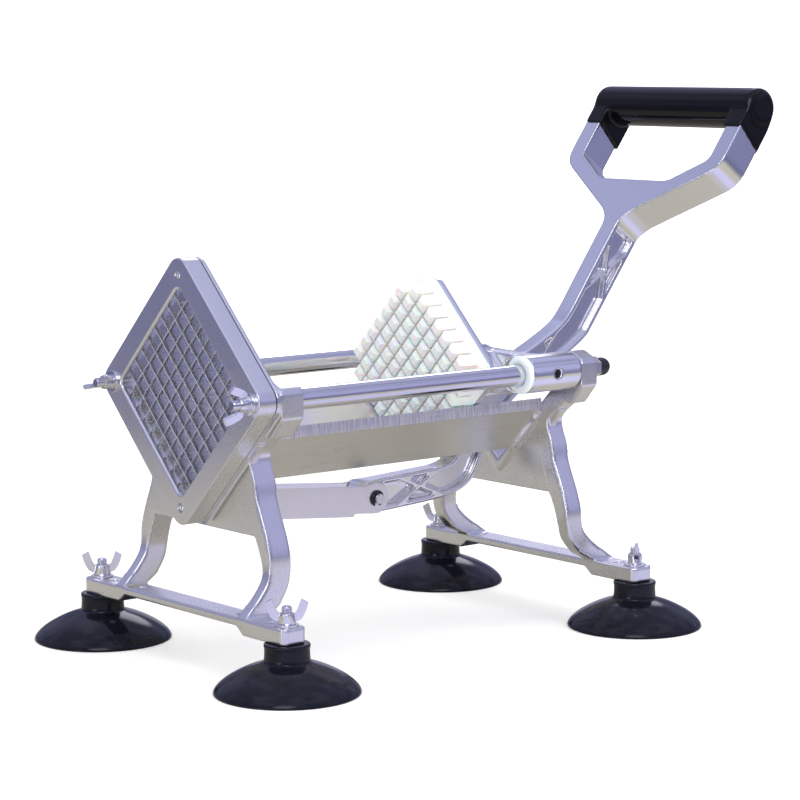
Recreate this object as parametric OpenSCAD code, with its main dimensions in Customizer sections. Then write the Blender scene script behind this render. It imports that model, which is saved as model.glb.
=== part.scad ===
// Bench-top french fry cutter. A lever drives a pegged pusher along two guide
// rods, through a V-shaped bed and against a square grid of blades.
// +X is the operator's right when facing the handle end, +Y runs from the
// cutting head to the handle, +Z is up and z = 0 is the bench.

/* [Cutting grid] */
// Side of the square sticks that the grid cuts
stick = 9.525; // [8:0.025:11]
// Number of sticks along one side of the grid
cells = 9; // [7:1:10]
// Thickness of a blade strip
blade_t = 0.8; // [0.5:0.1:1.2]
// Depth of a blade strip along the cut
blade_depth = 10.8; // [6:0.2:11.2]
// Length of the ground edge of a blade strip
blade_grind = 2.2; // [1:0.2:3]
// Length of each blade end that sits in the holder
blade_seat = 3; // [2:0.5:4]

/* [Blade holder] */
// Width of the holder's rim round the opening
holder_rim = 12.9; // [11:0.1:16]
// Thickness of the holder
holder_t = 12.3; // [11:0.1:16]
// Radius of the holder's outer corners
holder_corner_r = 10; // [4:0.5:12]
// Radius of the corners of the holder's opening
hole_corner_r = 5; // [2:0.5:8]
// Width of the bevel round the front of the holder's opening
lip = 1.1; // [0.6:0.1:2]
// Depth of the blade edges behind the holder's face
blade_inset = 2.6; // [1:0.1:3]
// Gap between the outer sticks and the side of the castings' opening
open_margin = 1.14; // [0.8:0.02:2]

/* [Guide rods] */
// Diameter of a guide rod
rod_d = 12.7; // [10:0.1:14]
// Distance of each rod outside the corner of the castings' opening
rod_out = 4.7711; // [4:0.1:9]
// Height of the rods and of the grid's centre above the bench
head_z = 158.3; // [150:0.1:175]
// Diameter of the threaded ends of the rods
rod_stud_d = 6; // [5:0.5:8]

/* [Bed] */
// Distance between the two end castings
bed_len = 211.5; // [195:0.5:240]
// Thickness of the bed's two plates
bed_t = 5; // [3:0.1:5.5]
// Drop from the centre line of the rods to the bed's rims
bed_rim_drop = 19.3; // [17:0.1:24]
// Height of the plates' edges beside the slot
bed_edge = 1.2; // [0.8:0.1:3]
// Gap between the lever and each side of the bed's slot
slot_gap = 1; // [0.6:0.1:2.5]

/* [End castings] */
// Thickness of the plate that the blade holder is clamped to
flange_t = 3.2; // [2.5:0.1:5]
// Depth of the front casting behind that plate
front_t = 15.4; // [12:0.1:18]
// Depth of the rear casting
rear_t = 12.9; // [10:0.1:16]
// Thickness of the webs between the legs
web_t = 5; // [3:0.5:8]
// Width of a front leg
front_leg_t = 8; // [6:0.5:10]
// Width of a rear leg
rear_leg_t = 10; // [7:0.5:11]
// How far the outside of the legs stands inside the rods' centre lines
leg_in = 2.8; // [0:0.1:8]
// Height of the webs' lower edge
web_z = 80; // [76:0.5:82]
// How far the front foot bar stands in front of the casting's back
front_reach = 24.8; // [18:0.2:30]
// How far the rear foot bar stands behind the rear casting's back
rear_reach = 18.4; // [12:0.2:26]

/* [Feet] */
// Width of a foot bar
bar_w = 17; // [14:0.5:22]
// Thickness of a foot bar at its end pads
bar_t = 9.4; // [8:0.1:12]
// How far the middle of a foot bar is relieved from below
bar_relief = 4.6; // [2:0.1:5]
// Distance of each suction cup's stud outside the leg
cup_out = 27.1; // [24:0.1:30]
// Length of a foot bar past the stud
bar_over = 8; // [7:0.1:14]
// Radius of a suction cup's rim
cup_r = 41.3; // [34:0.1:46]
// Height of a suction cup
cup_h = 28; // [24:0.5:34]
// Diameter of a suction cup's neck
cup_neck_d = 25.5; // [20:0.5:28]
// Diameter of the studs of the cups
foot_stud_d = 6; // [5:0.5:6.5]
// Diameter of the screw-down holes
screw_hole_d = 5.5; // [4:0.5:6]
// Distance of the inner screw-down holes inside the outer faces of the legs
inner_hole_in = 14.2; // [13.5:0.1:24]
// Distance of the outer screw-down holes outside the legs
outer_hole_out = 13.5; // [11:0.1:15.5]

/* [Carriage] */
// Outer diameter of the sleeves that slide on the rods
sleeve_d = 23; // [21:0.5:24]
// Length of a sleeve
sleeve_len = 39.5; // [30:0.5:45]
// Gap left between the sleeves and the rear casting at rest
rest_gap = 1.3; // [0.5:0.1:3]
// Gap left between the bushes and the front casting at full stroke
front_gap = 2.2; // [1:0.1:6]
// Thickness of the plate behind the pusher block
plate_t = 5; // [4:0.5:7]
// Distance from the plate's back to the front of the sleeves
plate_lead = 9; // [7:0.5:12]
// Diameter of the lever's pivot pin
pivot_d = 10; // [8:0.5:12]
// Distance of the pivot in front of the sleeves' rear end
pivot_back = 22.5; // [20:0.5:26]

/* [Pusher] */
// Full thickness of the pusher block
block_t = 20.2; // [18:0.1:26]
// Gap between the blades' back edges and the grooves' roots at full stroke
root_gap = 0.4; // [0.2:0.1:2]
// Width of the grooves between the pegs
groove_w = 1.5; // [1.3:0.1:2.2]
// Bevel round the tip of a peg
peg_bevel = 2.2; // [1:0.1:3]
// Radius of the pusher's outer corners
pusher_corner_r = 11; // [8:0.5:14]
// Gap between the pusher and the bed
pusher_gap = 0.7; // [0.5:0.1:1.5]

/* [Lever and link] */
// Thickness of the lever casting
lever_t = 13; // [11:0.5:13]
// Thickness of the lever's web
lever_web_t = 4; // [3:0.5:6]
// Width of the flanges along the lever's edges
lever_flange = 3.2; // [2.5:0.1:4.5]
// Width of the crossed ribs in the lever's upper part
lever_rib = 1.6; // [1.2:0.2:4]
// Width of the crossed ribs in the lever's lower arm
arm_rib = 3.4; // [2.4:0.2:4]
// Angle that the lever swings through over the full stroke
swing = 96.2548; // [95:0.0001:98.2]
// Diameter of the link pins
link_pin_d = 6.2; // [5:0.1:8]
// Distance of the anchor pin behind the front web
anchor_out = 21.1; // [19:0.1:35]
// How far the lever's eye stands out on each side of the lever
eye_proud = 1.2; // [0.5:0.1:3]
// Thickness of the link's plate
link_t = 2.8; // [2:0.1:3]
// Diameter of the grip
grip_d = 26.4; // [22:0.1:30]

/* [Fits] */
// Radial clearance of parts that turn or slide on a pin or rod
run_gap = 0.05; // [0.02:0.01:0.1]
// Clearance of parts that are assembled and stay put
fit_gap = 0.05; // [0.02:0.01:0.1]
// Gap between parts that swing past each other
side_gap = 0.5; // [0.3:0.05:0.8]

/* [Hidden] */

$fn = 48;
eps = 0.01;
root2 = sqrt(2);
left = -1;
right = 1;
sides = [left, right];

// The head: a square frame that stands on its corner
open_side = cells * stick + 2 * open_margin;
open_half = open_side / root2;
rod_x = open_half + rod_out;
leg_x = rod_x - leg_in;
cup_x = leg_x + cup_out;
bar_x = cup_x + bar_over;
inner_hole_x = leg_x - inner_hole_in;
outer_hole_x = leg_x + outer_hole_out;
hole_side = open_side - 2 * lip;
holder_side = open_side + 2 * holder_rim;
holder_half = holder_side / root2;
holder_screw_z = holder_half - 14;
grid_half = cells * stick / 2;
blade_len = open_side + 2 * blade_seat;

// Stations along the machine, from the blades' front edges
holder_front = -blade_inset;
holder_back = holder_front + holder_t;
flange_back = holder_back + flange_t;
front_back = flange_back + front_t;
rear_front = front_back + bed_len;
rear_back = rear_front + rear_t;
front_bar_y = front_back - front_reach;
rear_bar_y = rear_back + rear_reach;

// Heights
bar_z = cup_h;
bar_top = bar_z + bar_t;
bed_inner_half = open_half - 1.9;
bed_outer_half = bed_inner_half + bed_t * root2;
bed_rim_x = bed_inner_half - bed_rim_drop;
bed_slot_w = lever_t + 2 * slot_gap;
bed_foot_x = bed_slot_w / 2 - bed_edge + bed_t * root2;
cradle_half = open_half + 8;

// The carriage at rest
sleeve_back = rear_front - rest_gap;
sleeve_front = sleeve_back - sleeve_len;
bush_lip = 2.5;
plate_back = sleeve_front - plate_lead;
plate_front = plate_back - plate_t;
pusher_side = (bed_inner_half - pusher_gap * root2) * root2;
stroke = sleeve_front - bush_lip - front_back - front_gap;
peg_tip = plate_front - block_t;
peg_root = stroke + blade_depth + root_gap;

// The lever pivots at P, the link is pinned at L and anchored at A. Because L
// lies half a stroke in front of P, it is back at the same place at full stroke.
pivot_y = sleeve_back - pivot_back;
pivot_z = head_z;
link_y = pivot_y - stroke / 2;
arm_drop = stroke / 2 / tan(swing / 2);
link_z = pivot_z - arm_drop;
anchor_y = flange_back + web_t + anchor_out;
anchor_rise = 8.7;
link_run = link_y - anchor_y;
anchor_z = link_z + anchor_rise;
link_angle = atan2(anchor_rise, link_run);
link_len = norm([link_run, anchor_rise]);

// The lever's straight beam rises at this angle from its foot, which is given as
// Y and Z from the pivot; places on it are s up the beam and n out of its front
beam_angle = 53.5;
beam_foot = [120.7, 82.3];
beam_dir = [cos(beam_angle), sin(beam_angle)];
beam_normal = [-sin(beam_angle), cos(beam_angle)];
beam_depth = 22.4;
grip_s = 96.9;
grip_n = -9.4;
function on_beam(s, n) = beam_foot + s * beam_dir + n * beam_normal;

// The origin sits under the middle of the machine's whole length
mid_y = (front_bar_y - cup_r + pivot_y + on_beam(grip_s, grip_n)[0] + grip_d / 2) / 2;

// Screws of the blade holder
screw_r = 1.5;
screw_head_r = 2.6;
screw_seat_y = holder_front + 1.6;

// Front washers, wing nuts and stud ends
head_washer_t = 1.4;
nut_seat_y = holder_front - head_washer_t;
stud_tip_y = nut_seat_y - 11;
foot_washer_t = 1.2;
foot_nut_z = bar_top + foot_washer_t;
foot_stud_tip = foot_nut_z + 10;

// Link, its pins and their clips
link_w = lever_t + 2 * (eye_proud + side_gap + link_t);
ear_t = 4.5;
pin_end = 4;
anchor_reach = link_w / 2 + side_gap + ear_t + pin_end;
link_pin_reach = link_w / 2 + pin_end;
clip_t = 1;
clip_groove_r = link_pin_d / 2 - 0.7;

// Bushes, lugs and necks of the carriage
bush_r = rod_d / 2 + 2.2;
lug_in = lever_t / 2 + side_gap;
lug_t = 6;
lug_r = 13;
neck_y = front_back + stroke + 1;

// Screws that hold the pusher block on its plate
block_screw_x = 26;
block_screw_z = 14;
block_screw_head_r = 4.6;

// Colours
silver = [0.78, 0.78, 0.8];
steel = [0.62, 0.62, 0.66];
bright = [0.86, 0.86, 0.9];
ivory = [0.95, 0.94, 0.88];
gloss_black = [0.03, 0.03, 0.04];

// ---------------------------------------------------------------- helpers

// Moves the machine so that its middle stands over the origin
module placed() {
  translate([0, -mid_y, 0]) children();
}

// Extrudes an outline drawn in X and Z from y0 to y1
module across(y0, y1) {
  translate([0, y1, 0]) rotate([90, 0, 0]) linear_extrude(y1 - y0) children();
}

// Extrudes an outline drawn in Y and Z from x0 to x1
module sideways(x0, x1) {
  translate([x0, 0, 0]) rotate([90, 0, 90]) linear_extrude(x1 - x0) children();
}

// A round bar or hole along Y
module bar_y(x, z, y0, y1, r) {
  translate([x, y0, z]) rotate([-90, 0, 0]) cylinder(r = r, h = y1 - y0);
}

// A round bar or hole along X
module bar_x(y, z, x0, x1, r) {
  translate([x0, y, z]) rotate([0, 90, 0]) cylinder(r = r, h = x1 - x0);
}

// A square that stands on its corner round the head's centre
module diamond(side, r = 0) {
  flat = side / 2 - r;
  translate([0, head_z]) rotate(45) {
    square([side, 2 * flat], center = true);
    square([2 * flat, side], center = true);
    if (r > 0)
      for (a = sides, b = sides) translate([a * flat, b * flat]) circle(r);
  }
}

// A smooth curve through points, with n steps between neighbours
function bend(a, b, c, d, t) =
  (2 * b + (c - a) * t + (2 * a - 5 * b + 4 * c - d) * t * t
   + (3 * b - a - 3 * c + d) * t * t * t) / 2;
function curve(p, n = 4) = let (last = len(p) - 1) concat(
  [for (i = [0 : last - 1], k = [0 : n - 1])
    bend(p[max(i - 1, 0)], p[i], p[i + 1], p[min(i + 2, last)], k / n)],
  [p[last]]);

function reversed(p) = [for (i = [len(p) - 1 : -1 : 0]) p[i]];

// Moves each point of a line sideways by d, to the left of its run
function beside(p, d) = [for (i = [0 : len(p) - 1])
  let (w = p[min(i + 1, len(p) - 1)] - p[max(i - 1, 0)])
    p[i] + d / norm(w) * [-w[1], w[0]]];

// ---------------------------------------------------------------- castings

// Outer edge of a casting from the boss down to the foot bar, as X and Z
function leg_outer() = concat(
  [[rod_x - 8.2, head_z - 18], [rod_x - 8.2, head_z - 21.1]],
  curve([[rod_x - 10.5, head_z - 23.3], [rod_x - 18, head_z - 29],
    [rod_x - 21.3, head_z - 34], [rod_x - 20, head_z - 40],
    [rod_x - 16.8, head_z - 48], [leg_x - 11.8, web_z + 20],
    [leg_x - 7.5, web_z + 10], [leg_x - 3.2, web_z],
    [leg_x - 0.3, web_z - 10], [leg_x, web_z - 18]], 3),
  [[leg_x, bar_top - 1]]);

// Inner edge of a leg from the foot bar up to the cradle, as X and Z
function leg_inner(t) = concat(
  [[leg_x - t, bar_top - 1]],
  curve([[leg_x - t, web_z - 20], [leg_x - t - 1.3, web_z - 14],
    [leg_x - t - 4, web_z - 7], [leg_x - t - 7.2, web_z],
    [leg_x - t - 12, web_z + 14], [leg_x - t - 17, web_z + 28],
    [rod_x - 31, head_z - 40]], 3),
  [[rod_x - 25, head_z - 16]]);

// The round the rod passes through, with its bevelled corners
function boss_edge() = [
  [rod_x - 8.2, head_z - 21.1], [rod_x - 0.6, head_z - 21.1],
  [rod_x + 9.4, head_z - 9.6], [rod_x + 9.4, head_z + 4.6], [rod_x + 7.3, head_z + 7.4],
  [rod_x - 2.3, head_z + 11.5], [rod_x - 9, head_z + 4.8],
  [open_half - 11.5, head_z], [rod_x - 20, head_z - 21.1]];

// Both legs, both bosses and the V that carries the bed
module casting_profile(leg_t) {
  difference() {
    union() {
      for (s = sides) scale([s, 1]) {
        polygon(concat(leg_outer(), leg_inner(leg_t)));
        polygon(boss_edge());
      }
      intersection() {
        diamond(cradle_half * root2);
        translate([-rod_x + 8, 0]) square([2 * rod_x - 16, head_z]);
      }
    }
    diamond(open_side);
  }
}

// The plate that closes the space between the legs under the bed
module web_profile(leg_t) {
  inner = leg_x - leg_t - 7;
  difference() {
    polygon([[-inner, web_z], [inner, web_z], [rod_x - 22, head_z - 38],
      [rod_x - 12, head_z - 26], [-rod_x + 12, head_z - 26], [-rod_x + 22, head_z - 38]]);
    diamond(open_side);
  }
}

// Side view of a leg that sweeps out to its foot bar: dir is -1 forwards
module leg_sweep(y0, y1, bar_y, dir) {
  lead = dir > 0 ? y1 : y0;
  trail = dir > 0 ? y0 : y1;
  toe = bar_y + dir * bar_w / 2;
  heel = bar_y - dir * bar_w / 2;
  run = toe - lead;
  drop = heel - trail;
  polygon(concat(
    [[trail, head_z + 20], [lead, head_z + 20]],
    curve([[lead, bar_top + 28], [lead + run * 0.05, bar_top + 21],
      [lead + run * 0.21, bar_top + 15.6], [lead + run * 0.44, bar_top + 10.4],
      [lead + run * 0.72, bar_top + 5.2], [toe, bar_top]], 3),
    [[toe, bar_top - 1], [heel, bar_top - 1]],
    curve([[heel, bar_top], [trail + drop * 0.56, bar_top + 4.8],
      [trail + drop * 0.30, bar_top + 10], [trail + drop * 0.09, bar_top + 17],
      [trail, bar_top + 27]], 3)));
}

// Foot bar with its raised middle, its screw holes and its stud holes
module foot_bar(y) {
  pad = 38;
  corner = 3;
  ramp = 6;
  difference() {
    intersection() {
      across(y - bar_w / 2, y + bar_w / 2) polygon([
        [-bar_x, bar_top], [-bar_x, bar_z], [-bar_x + pad, bar_z],
        [-bar_x + pad + ramp, bar_z + bar_relief], [bar_x - pad - ramp, bar_z + bar_relief],
        [bar_x - pad, bar_z], [bar_x, bar_z], [bar_x, bar_top]]);
      linear_extrude(2 * bar_top) polygon([
        for (q = [[-1, -1], [1, -1], [1, 1], [-1, 1]], k = [0, 1])
          let (cut = (q[0] * q[1] > 0) == (k == 0) ? [0, corner] : [corner, 0])
            [q[0] * (bar_x - cut[0]), y + q[1] * (bar_w / 2 - cut[1])]]);
    }
    for (s = sides) {
      for (x = [inner_hole_x, outer_hole_x])
        translate([s * x, y, 0]) cylinder(d = screw_hole_d, h = 2 * bar_top);
      translate([s * cup_x, y, 0]) cylinder(d = foot_stud_d + 0.6, h = 2 * bar_top);
    }
  }
}

// The two ears that hold the anchor pin under the front of the bed
module anchor_ears() {
  ear_r = 8;
  for (s = sides) {
    x0 = s > 0 ? link_w / 2 + side_gap : -link_w / 2 - side_gap - ear_t;
    bar_x(anchor_y, anchor_z, x0, x0 + ear_t, ear_r);
    sideways(x0, x0 + ear_t) polygon([
      [flange_back + web_t, anchor_z + ear_r], [anchor_y, anchor_z + ear_r],
      [anchor_y, anchor_z - ear_r], [flange_back + web_t, web_z]]);
  }
}

module front_casting() {
  color(silver) placed() difference() {
    union() {
      across(holder_back, flange_back) difference() {
        diamond(holder_side, holder_corner_r);
        diamond(open_side);
      }
      intersection() {
        across(front_bar_y - bar_w, front_back) casting_profile(front_leg_t);
        sideways(-2 * rod_x, 2 * rod_x)
          leg_sweep(flange_back, front_back, front_bar_y, -1);
      }
      across(flange_back, flange_back + web_t) web_profile(front_leg_t);
      foot_bar(front_bar_y);
      anchor_ears();
    }
    for (s = sides) {
      bar_y(s * rod_x, head_z, flange_back + 1.5, front_back + 1, rod_d / 2 + fit_gap);
      bar_y(s * rod_x, head_z, holder_back - 1, front_back, rod_stud_d / 2 + 0.3);
      bar_y(0, head_z + s * holder_screw_z, holder_back - 1, flange_back + 1, screw_r + 0.1);
    }
    bar_x(anchor_y, anchor_z, -link_w, link_w, link_pin_d / 2 + fit_gap);
  }
}

module rear_casting() {
  color(silver) placed() difference() {
    union() {
      intersection() {
        across(rear_front, rear_bar_y + bar_w) casting_profile(rear_leg_t);
        sideways(-2 * rod_x, 2 * rod_x)
          leg_sweep(rear_front, rear_back, rear_bar_y, 1);
      }
      across(rear_front + 2, rear_front + 2 + web_t) web_profile(rear_leg_t);
      foot_bar(rear_bar_y);
    }
    for (s = sides) {
      bar_y(s * rod_x, head_z, rear_front - 1, rear_back - 5, rod_d / 2 + fit_gap);
      bar_y(s * rod_x, head_z, rear_front, rear_back + 1, rod_stud_d / 2 + 0.3);
    }
  }
}

// ---------------------------------------------------------------- bed

// The two plates that the potato slides along, with the lever's slot between
// them; their rims are cut upright, with a small step where the saw met the V
module trough() {
  outer_z = head_z - bed_outer_half;
  inner_z = head_z - bed_inner_half;
  slot = bed_slot_w / 2;
  low_z = outer_z + bed_foot_x;
  step_z = outer_z + bed_rim_x + 3.9;
  step_x = bed_rim_x - 0.45;
  color(silver) placed() across(front_back, rear_front) for (s = sides) scale([s, 1])
    polygon([[slot, inner_z + slot], [slot, low_z], [bed_foot_x, low_z],
      [bed_rim_x, outer_z + bed_rim_x], [bed_rim_x, step_z], [step_x, step_z], [step_x, inner_z + step_x]]);
}

// Weld beads in the corners between the bed and the castings
module trough_welds() {
  bead = 2.8;
  rim = (bed_outer_half - bed_rim_x) * root2;
  foot = (bed_outer_half - bed_foot_x) * root2;
  color(bright) placed()
    for (s = sides, run = [[rim + 0.5, rim + 9], [rim + 12.5, foot - 0.6]], end = [0, 1]) {
      y = end == 0 ? front_back : rear_front;
      back = end == 0 ? 1 : -1;
      translate([0, y, head_z]) rotate([0, s * 45, 0])
        translate([0, 0, -bed_outer_half / root2])
          scale([s, back, 1])
            translate([-bed_outer_half / root2 + run[0], 0, 0])
              rotate([90, 0, 90]) linear_extrude(run[1] - run[0])
                polygon([[0, 0], [bead, 0], [bead * 0.87, -bead * 0.5], [bead * 0.5, -bead * 0.87], [0, -bead]]);
    }
}

// ---------------------------------------------------------------- guide rods

module guide_rod(s) {
  color(steel) placed() {
    bar_y(s * rod_x, head_z, flange_back + 1.5, rear_back - 5, rod_d / 2);
    bar_y(s * rod_x, head_z, stud_tip_y, rear_back + 12, rod_stud_d / 2);
  }
}

module guide_rod_left() { guide_rod(left); }
module guide_rod_right() { guide_rod(right); }

// Domed nuts on the rear ends of the rods
module rod_cap_nuts() {
  seat = rear_back + 1.4;
  hex_h = 6;
  across_flats = 11.5;
  dome_r = 5.6;
  color(gloss_black) placed() for (s = sides) difference() {
    union() {
      translate([s * rod_x, seat, head_z]) rotate([-90, 30, 0])
        cylinder(d = across_flats / cos(30), h = hex_h, $fn = 6);
      bar_y(s * rod_x, head_z, seat, seat + hex_h + 4.5, dome_r);
      translate([s * rod_x, seat + hex_h + 4.5, head_z]) sphere(dome_r);
    }
    bar_y(s * rod_x, head_z, seat - 1, rear_back + 12 + fit_gap, rod_stud_d / 2 + fit_gap);
  }
}

module ring_y(x, z, y0, y1, r_in, r_out) {
  difference() {
    bar_y(x, z, y0, y1, r_out);
    bar_y(x, z, y0 - 1, y1 + 1, r_in);
  }
}

module rod_washers() {
  color(bright) placed() for (s = sides)
    ring_y(s * rod_x, head_z, rear_back, rear_back + 1.4, rod_stud_d / 2 + 0.2, 6.6);
}

module head_washers() {
  color(bright) placed() for (s = sides)
    ring_y(s * rod_x, head_z, nut_seat_y, holder_front, rod_stud_d / 2 + 0.2, 6.4);
}

// ---------------------------------------------------------------- head

// Positions of the blade strips across the grid
function strip_at(i) = -grid_half + i * stick;

// Bevels the front edge of the holder's opening at 45 degrees
module lip_cut() {
  edge = hole_side / 2;
  flat = edge - hole_corner_r;
  for (a = [0, 90], s = sides) rotate([0, a, 0]) sideways(-flat, flat) polygon([
    [holder_front - 1, s * (edge + lip + 1)], [holder_front + lip, s * edge], [holder_front - 1, s * edge]]);
  for (a = sides, b = sides)
    translate([a * flat, holder_front - 1, b * flat]) rotate([-90, 0, 0])
      cylinder(r1 = hole_corner_r + lip + 1, r2 = hole_corner_r, h = lip + 1);
}

module blade_holder() {
  color(silver) placed() difference() {
    across(holder_front, holder_back) diamond(holder_side, holder_corner_r);
    across(holder_front - 1, holder_back + 1) diamond(hole_side, hole_corner_r);
    translate([0, 0, head_z]) rotate([0, 45, 0]) lip_cut();
    translate([0, 0, head_z]) rotate([0, 45, 0]) for (a = [0, 90], i = [1 : cells - 1])
      rotate([0, a, 0]) translate([-blade_len / 2, 0, strip_at(i) - blade_t / 2 - fit_gap])
        cube([blade_len, holder_back + 1, blade_t + 2 * fit_gap]);
    for (s = sides) {
      bar_y(s * rod_x, head_z, holder_front - 1, holder_back + 1, rod_stud_d / 2 + 0.2);
      bar_y(0, head_z + s * holder_screw_z, holder_front - 1, holder_back + 1, screw_r + 0.1);
      bar_y(0, head_z + s * holder_screw_z, holder_front - 1, screw_seat_y, screw_head_r + 0.2);
    }
  }
}

// One blade strip along X: ground front edge, deeper tabs at its two ends
module blade_strip() {
  body = hole_side / 2 - fit_gap;
  tab = blade_len / 2 - fit_gap;
  translate([0, 0, -blade_t / 2]) linear_extrude(blade_t) polygon([
    [-tab, blade_grind], [tab, blade_grind], [tab, holder_back - fit_gap],
    [body, holder_back - fit_gap], [body, blade_depth], [-body, blade_depth],
    [-body, holder_back - fit_gap], [-tab, holder_back - fit_gap]]);
  sideways(-tab, tab) polygon([[fit_gap, 0], [blade_grind, blade_t / 2], [blade_grind, -blade_t / 2]]);
}

// A set of strips, halved from the front or from the back to cross the other set
module blade_set(turn, from_front) {
  half = blade_depth / 2;
  y0 = from_front ? -1 : half - fit_gap;
  y1 = from_front ? half + fit_gap : blade_depth + 1;
  color(bright) placed() translate([0, 0, head_z]) rotate([0, turn, 0])
    for (i = [1 : cells - 1]) translate([0, 0, strip_at(i)]) difference() {
      blade_strip();
      for (k = [1 : cells - 1])
        translate([strip_at(k) - blade_t / 2 - fit_gap, y0, -blade_t])
          cube([blade_t + 2 * fit_gap, y1 - y0, 2 * blade_t]);
    }
}
module blades_rising() { blade_set(-45, true); }
module blades_falling() { blade_set(45, false); }

// Small domed socket screws that keep the holder on its plate
module holder_screws() {
  shaft = flange_back - screw_seat_y;
  color(bright) placed() for (s = sides) translate([0, screw_seat_y, head_z + s * holder_screw_z])
    rotate([90, 0, 0]) difference() {
      union() {
        rotate_extrude() polygon([[0, 0], [screw_head_r, 0], [screw_head_r, 0.5],
          [screw_head_r - 0.4, 1.1], [screw_head_r - 1.2, 1.6], [0, 1.8]]);
        translate([0, 0, -shaft]) cylinder(r = screw_r, h = shaft + eps);
      }
      translate([0, 0, 0.8]) cylinder(r = 1, h = 2, $fn = 6);
    }
}

// ---------------------------------------------------------------- anchor

module link_pin_shape(y, z, reach) {
  bar_x(y, z, -reach, reach, link_pin_d / 2);
}

module anchor_pin() {
  color(steel) placed() difference() {
    link_pin_shape(anchor_y, anchor_z, anchor_reach);
    clip_grooves(anchor_y, anchor_z, anchor_reach - pin_end);
  }
}

module clip_grooves(y, z, seat) {
  for (s = sides) difference() {
    x0 = s > 0 ? seat : -seat - clip_t;
    bar_x(y, z, x0, x0 + clip_t, link_pin_d);
    bar_x(y, z, x0 - 1, x0 + clip_t + 1, clip_groove_r);
  }
}

// Open retaining clips that snap into the pin's grooves
module clips(y, z, seat) {
  clip_r = link_pin_d / 2 + 1.8;
  for (s = sides) {
    x0 = (s > 0 ? seat : -seat - clip_t) + fit_gap;
    difference() {
      bar_x(y, z, x0, x0 + clip_t - 2 * fit_gap, clip_r);
      bar_x(y, z, x0 - 1, x0 + clip_t, clip_groove_r + fit_gap);
      translate([x0 - 1, y - clip_groove_r * 0.8, z - 2 * clip_r])
        cube([clip_t + 2, clip_groove_r * 1.6, 2 * clip_r]);
    }
  }
}
module anchor_clips() {
  color(gloss_black) placed() clips(anchor_y, anchor_z, anchor_reach - pin_end);
}

// ---------------------------------------------------------------- feet

// A suction cup as a turned bell with a hollow under it
module suction_cup(s, y) {
  neck_r = cup_neck_d / 2;
  shoulder = cup_h * 0.6;
  skirt = curve([[cup_r, 1.1], [cup_r - 1.5, 3.6], [cup_r - 5.6, 6.6],
    [cup_r - 12, 10.1], [cup_r - 20, 14], [neck_r + 2.4, shoulder], [neck_r, shoulder + 2.2]], 3);
  hollow = curve([[cup_r - 3.5, 0], [cup_r - 8, 3.4], [cup_r - 15, 6.6],
    [cup_r - 24, 9.4], [cup_r - 33, 10.6]], 3);
  color(gloss_black) placed() translate([s * cup_x, y, 0]) difference() {
    rotate_extrude($fn = 72) polygon(concat(
      [[cup_r, 0]], skirt, [[neck_r - 0.3, cup_h - 2.4], [neck_r + 0.2, cup_h - 1.6],
        [neck_r, cup_h], [0, cup_h], [0, 10.8]], reversed(hollow)));
    translate([0, 0, 14]) cylinder(d = foot_stud_d, h = cup_h);
  }
}
module suction_cup_front_left() { suction_cup(left, front_bar_y); }
module suction_cup_front_right() { suction_cup(right, front_bar_y); }
module suction_cup_rear_left() { suction_cup(left, rear_bar_y); }
module suction_cup_rear_right() { suction_cup(right, rear_bar_y); }

module at_feet() {
  for (s = sides, y = [front_bar_y, rear_bar_y]) translate([s * cup_x, y, 0]) children();
}

module cup_studs() {
  color(steel) placed() at_feet()
    translate([0, 0, 14]) cylinder(d = foot_stud_d, h = foot_stud_tip - 14);
}

module foot_washers() {
  color(bright) placed() at_feet() translate([0, 0, bar_top]) difference() {
    cylinder(r = 6.6, h = foot_washer_t);
    translate([0, 0, -1]) cylinder(d = foot_stud_d + 0.4, h = foot_washer_t + 2);
  }
}

// A wing nut that stands on z = 0 round a stud along Z
module wing_nut(stud_d) {
  hub_h = 6.4;
  wing = curve([[3.4, 3.4], [7, 5], [9.6, 8.2], [11.6, 12.6]], 3);
  wing_w = 4.4;
  wing_t = 2;
  difference() {
    union() {
      rotate_extrude() polygon([[0, 0], [4.9, 0], [5.1, 1], [4.1, hub_h - 0.8], [3.5, hub_h], [0, hub_h]]);
      for (s = sides) scale([s, 1, 1])
        translate([0, wing_t / 2, 0]) rotate([90, 0, 0]) linear_extrude(wing_t)
          polygon(concat(beside(wing, -wing_w / 2), reversed(beside(wing, wing_w / 2))));
    }
    translate([0, 0, -1]) cylinder(r = stud_d / 2 + run_gap, h = hub_h + 10);
  }
}

module head_wing_nut(s, turn) {
  color(bright) placed() translate([s * rod_x, nut_seat_y, head_z])
    rotate([90, 0, 0]) rotate([0, 0, turn]) wing_nut(rod_stud_d);
}
module foot_wing_nut(s, y, turn) {
  color(bright) placed() translate([s * cup_x, y, foot_nut_z])
    rotate([0, 0, turn]) wing_nut(foot_stud_d);
}
module wing_nut_head_left() { head_wing_nut(left, 20); }
module wing_nut_head_right() { head_wing_nut(right, 70); }
module wing_nut_front_left() { foot_wing_nut(left, front_bar_y, 55); }
module wing_nut_front_right() { foot_wing_nut(right, front_bar_y, 50); }
module wing_nut_rear_left() { foot_wing_nut(left, rear_bar_y, 60); }
module wing_nut_rear_right() { foot_wing_nut(right, rear_bar_y, 140); }

// ---------------------------------------------------------------- carriage

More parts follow.
